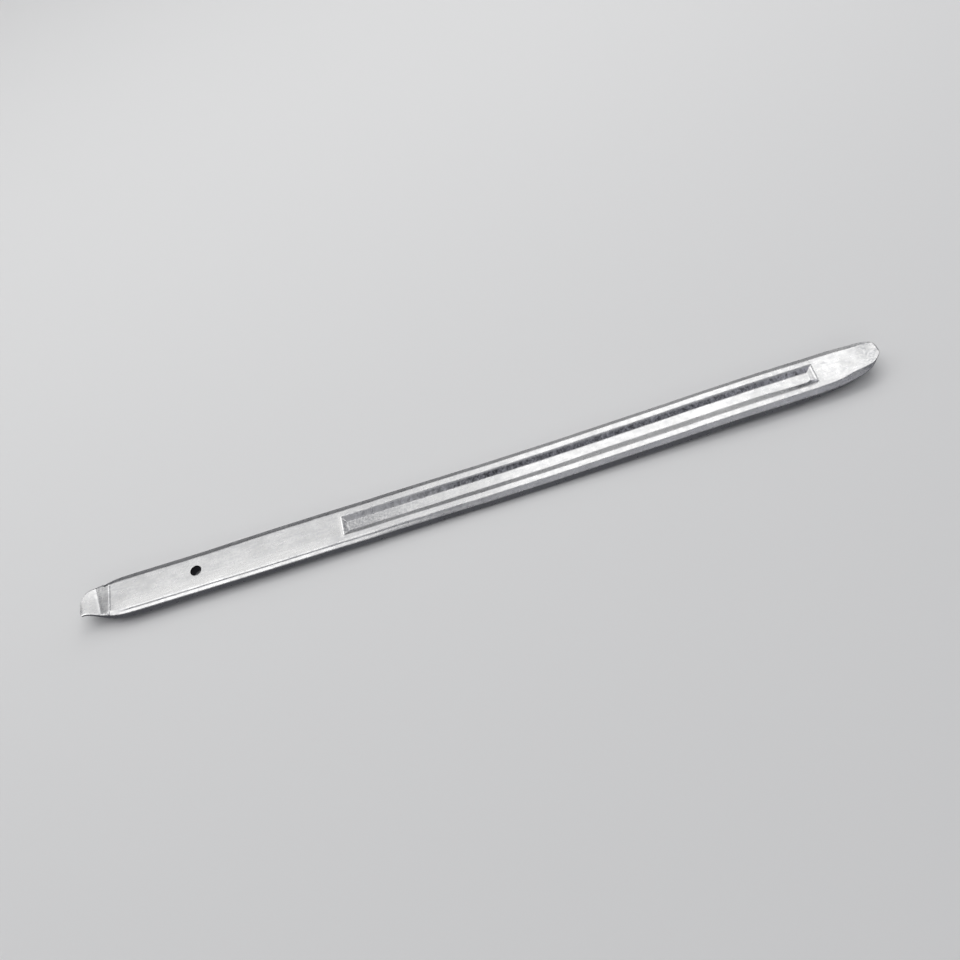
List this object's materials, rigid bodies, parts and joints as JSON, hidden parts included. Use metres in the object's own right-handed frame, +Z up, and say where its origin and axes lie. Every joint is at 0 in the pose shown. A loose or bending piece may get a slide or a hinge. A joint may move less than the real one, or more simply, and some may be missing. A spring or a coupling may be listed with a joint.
{
  "type": "tyre lever",
  "caption": "Forged steel tyre lever: flat shank with a shallow fuller on each face, a curved spoon at one end, a small hooked lip at the other, and a hang hole in the tang.",
  "frame": {"origin": "middle of the lever's length and width, on the plane the underside rests on", "axes": "+X along the lever towards the curved spoon, +Y across its width, +Z up out of the face that the lip and spoon curve towards"},
  "size_m": [0.5, 0.029, 0.0131],
  "materials": {
    "plated_steel": "bright satin zinc plate over a drop-forged skin"
  },
  "bodies": {
    "root": {"forged_bar": "plated_steel"}
  },
  "joints": []
}
